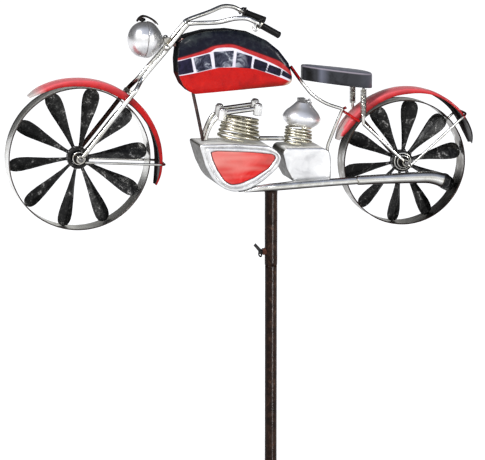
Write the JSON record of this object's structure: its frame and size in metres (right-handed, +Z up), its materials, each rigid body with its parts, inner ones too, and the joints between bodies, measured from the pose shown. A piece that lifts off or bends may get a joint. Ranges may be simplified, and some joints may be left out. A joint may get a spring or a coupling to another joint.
{
  "type": "wind spinner",
  "caption": "Motorcycle wind spinner on a garden stake; both vaned wheels spin on their axles and the motorcycle swivels on the pole.",
  "frame": {"origin": "on the pole's axis at the flat underside of the step bar, which rests on the soil", "axes": "+Z up the pole; the motorcycle faces -X and its left side, with the exhaust, faces -Y"},
  "size_m": [0.6095, 0.103, 1.2075],
  "materials": {
    "silver_metal": "satin silver steel",
    "bright_chrome": "bright chrome",
    "red_paint": "gloss red paint",
    "tank_paint": "gloss red paint with dark panels and white lines",
    "navy_paint": "hammered blue-black paint",
    "black_paint": "hammered black paint",
    "black_rubber": "black sleeve",
    "bronze_paint": "antique brown-black paint",
    "grey_paint": "dark olive-grey paint",
    "brass": "plain turned brass"
  },
  "bodies": {
    "stake": {"ground_fork": "bronze_paint", "lower_pole": "bronze_paint", "upper_pole": "bronze_paint"},
    "bike": {"cylinder_bulb": "bright_chrome", "down_tube": "silver_metal", "engine_band": "grey_paint", "engine_cover_left": "red_paint", "engine_cover_right": "red_paint", "exhaust_pipe": "silver_metal", "fork_crown": "silver_metal", "fork_left": "silver_metal", "fork_right": "silver_metal", "frame_spine": "silver_metal", "front_axle": "silver_metal", "front_coil": "silver_metal", "front_fender": "red_paint", "front_stay": "silver_metal", "gearbox_band": "grey_paint", "gearbox_cover_left": "silver_metal", "gearbox_cover_right": "silver_metal", "grip_left": "black_rubber", "grip_right": "black_rubber", "head_lug": "bronze_paint", "header_pipe_left": "silver_metal", "header_pipe_right": "silver_metal", "headlight_bowl": "bright_chrome", "headlight_bracket": "silver_metal", "headlight_shell": "bright_chrome", "intake_pipe": "silver_metal", "lever_collar_left": "silver_metal", "lever_collar_right": "silver_metal", "lower_rail": "black_paint", "muffler": "silver_metal", "muffler_tip": "black_paint", "rear_axle": "silver_metal", "rear_coil": "silver_metal", "rear_fender": "red_paint", "rear_fender_strap": "red_paint", "rear_stay": "silver_metal", "rocker_bar_left": "silver_metal", "rocker_bar_right": "silver_metal", "seat": "black_paint", "seat_post_left": "silver_metal", "seat_post_right": "silver_metal", "seat_spring_left": "silver_metal", "seat_spring_right": "silver_metal", "socket_tube": "bronze_paint", "tank_band": "navy_paint", "tank_left": "tank_paint", "tank_right": "tank_paint"},
    "thumb_screw": {"thumb_screw": "black_paint"},
    "front_wheel": {"front_rim": "silver_metal", "front_vanes": "black_paint", "front_hub": "silver_metal", "front_bush": "brass"},
    "rear_wheel": {"rear_rim": "silver_metal", "rear_vanes": "black_paint", "rear_hub": "silver_metal", "rear_bush": "brass"}
  },
  "joints": [
    {"name": "swivel", "type": "hinge", "parent": "stake", "child": "bike", "pos_m": [0, 0, 0.74], "axis": [0, 0, 1], "continuous": true},
    {"name": "thumb_screw_turn", "type": "hinge", "parent": "bike", "child": "thumb_screw", "pos_m": [-0.012, 0, 0.711], "axis": [1, 0, 0], "range_deg": [-180, 180]},
    {"name": "front_wheel_spin", "type": "hinge", "parent": "bike", "child": "front_wheel", "pos_m": [-0.251, 0, 0.841], "axis": [0, 1, 0], "continuous": true},
    {"name": "rear_wheel_spin", "type": "hinge", "parent": "bike", "child": "rear_wheel", "pos_m": [0.173, 0, 0.823], "axis": [0, 1, 0], "continuous": true}
  ]
}
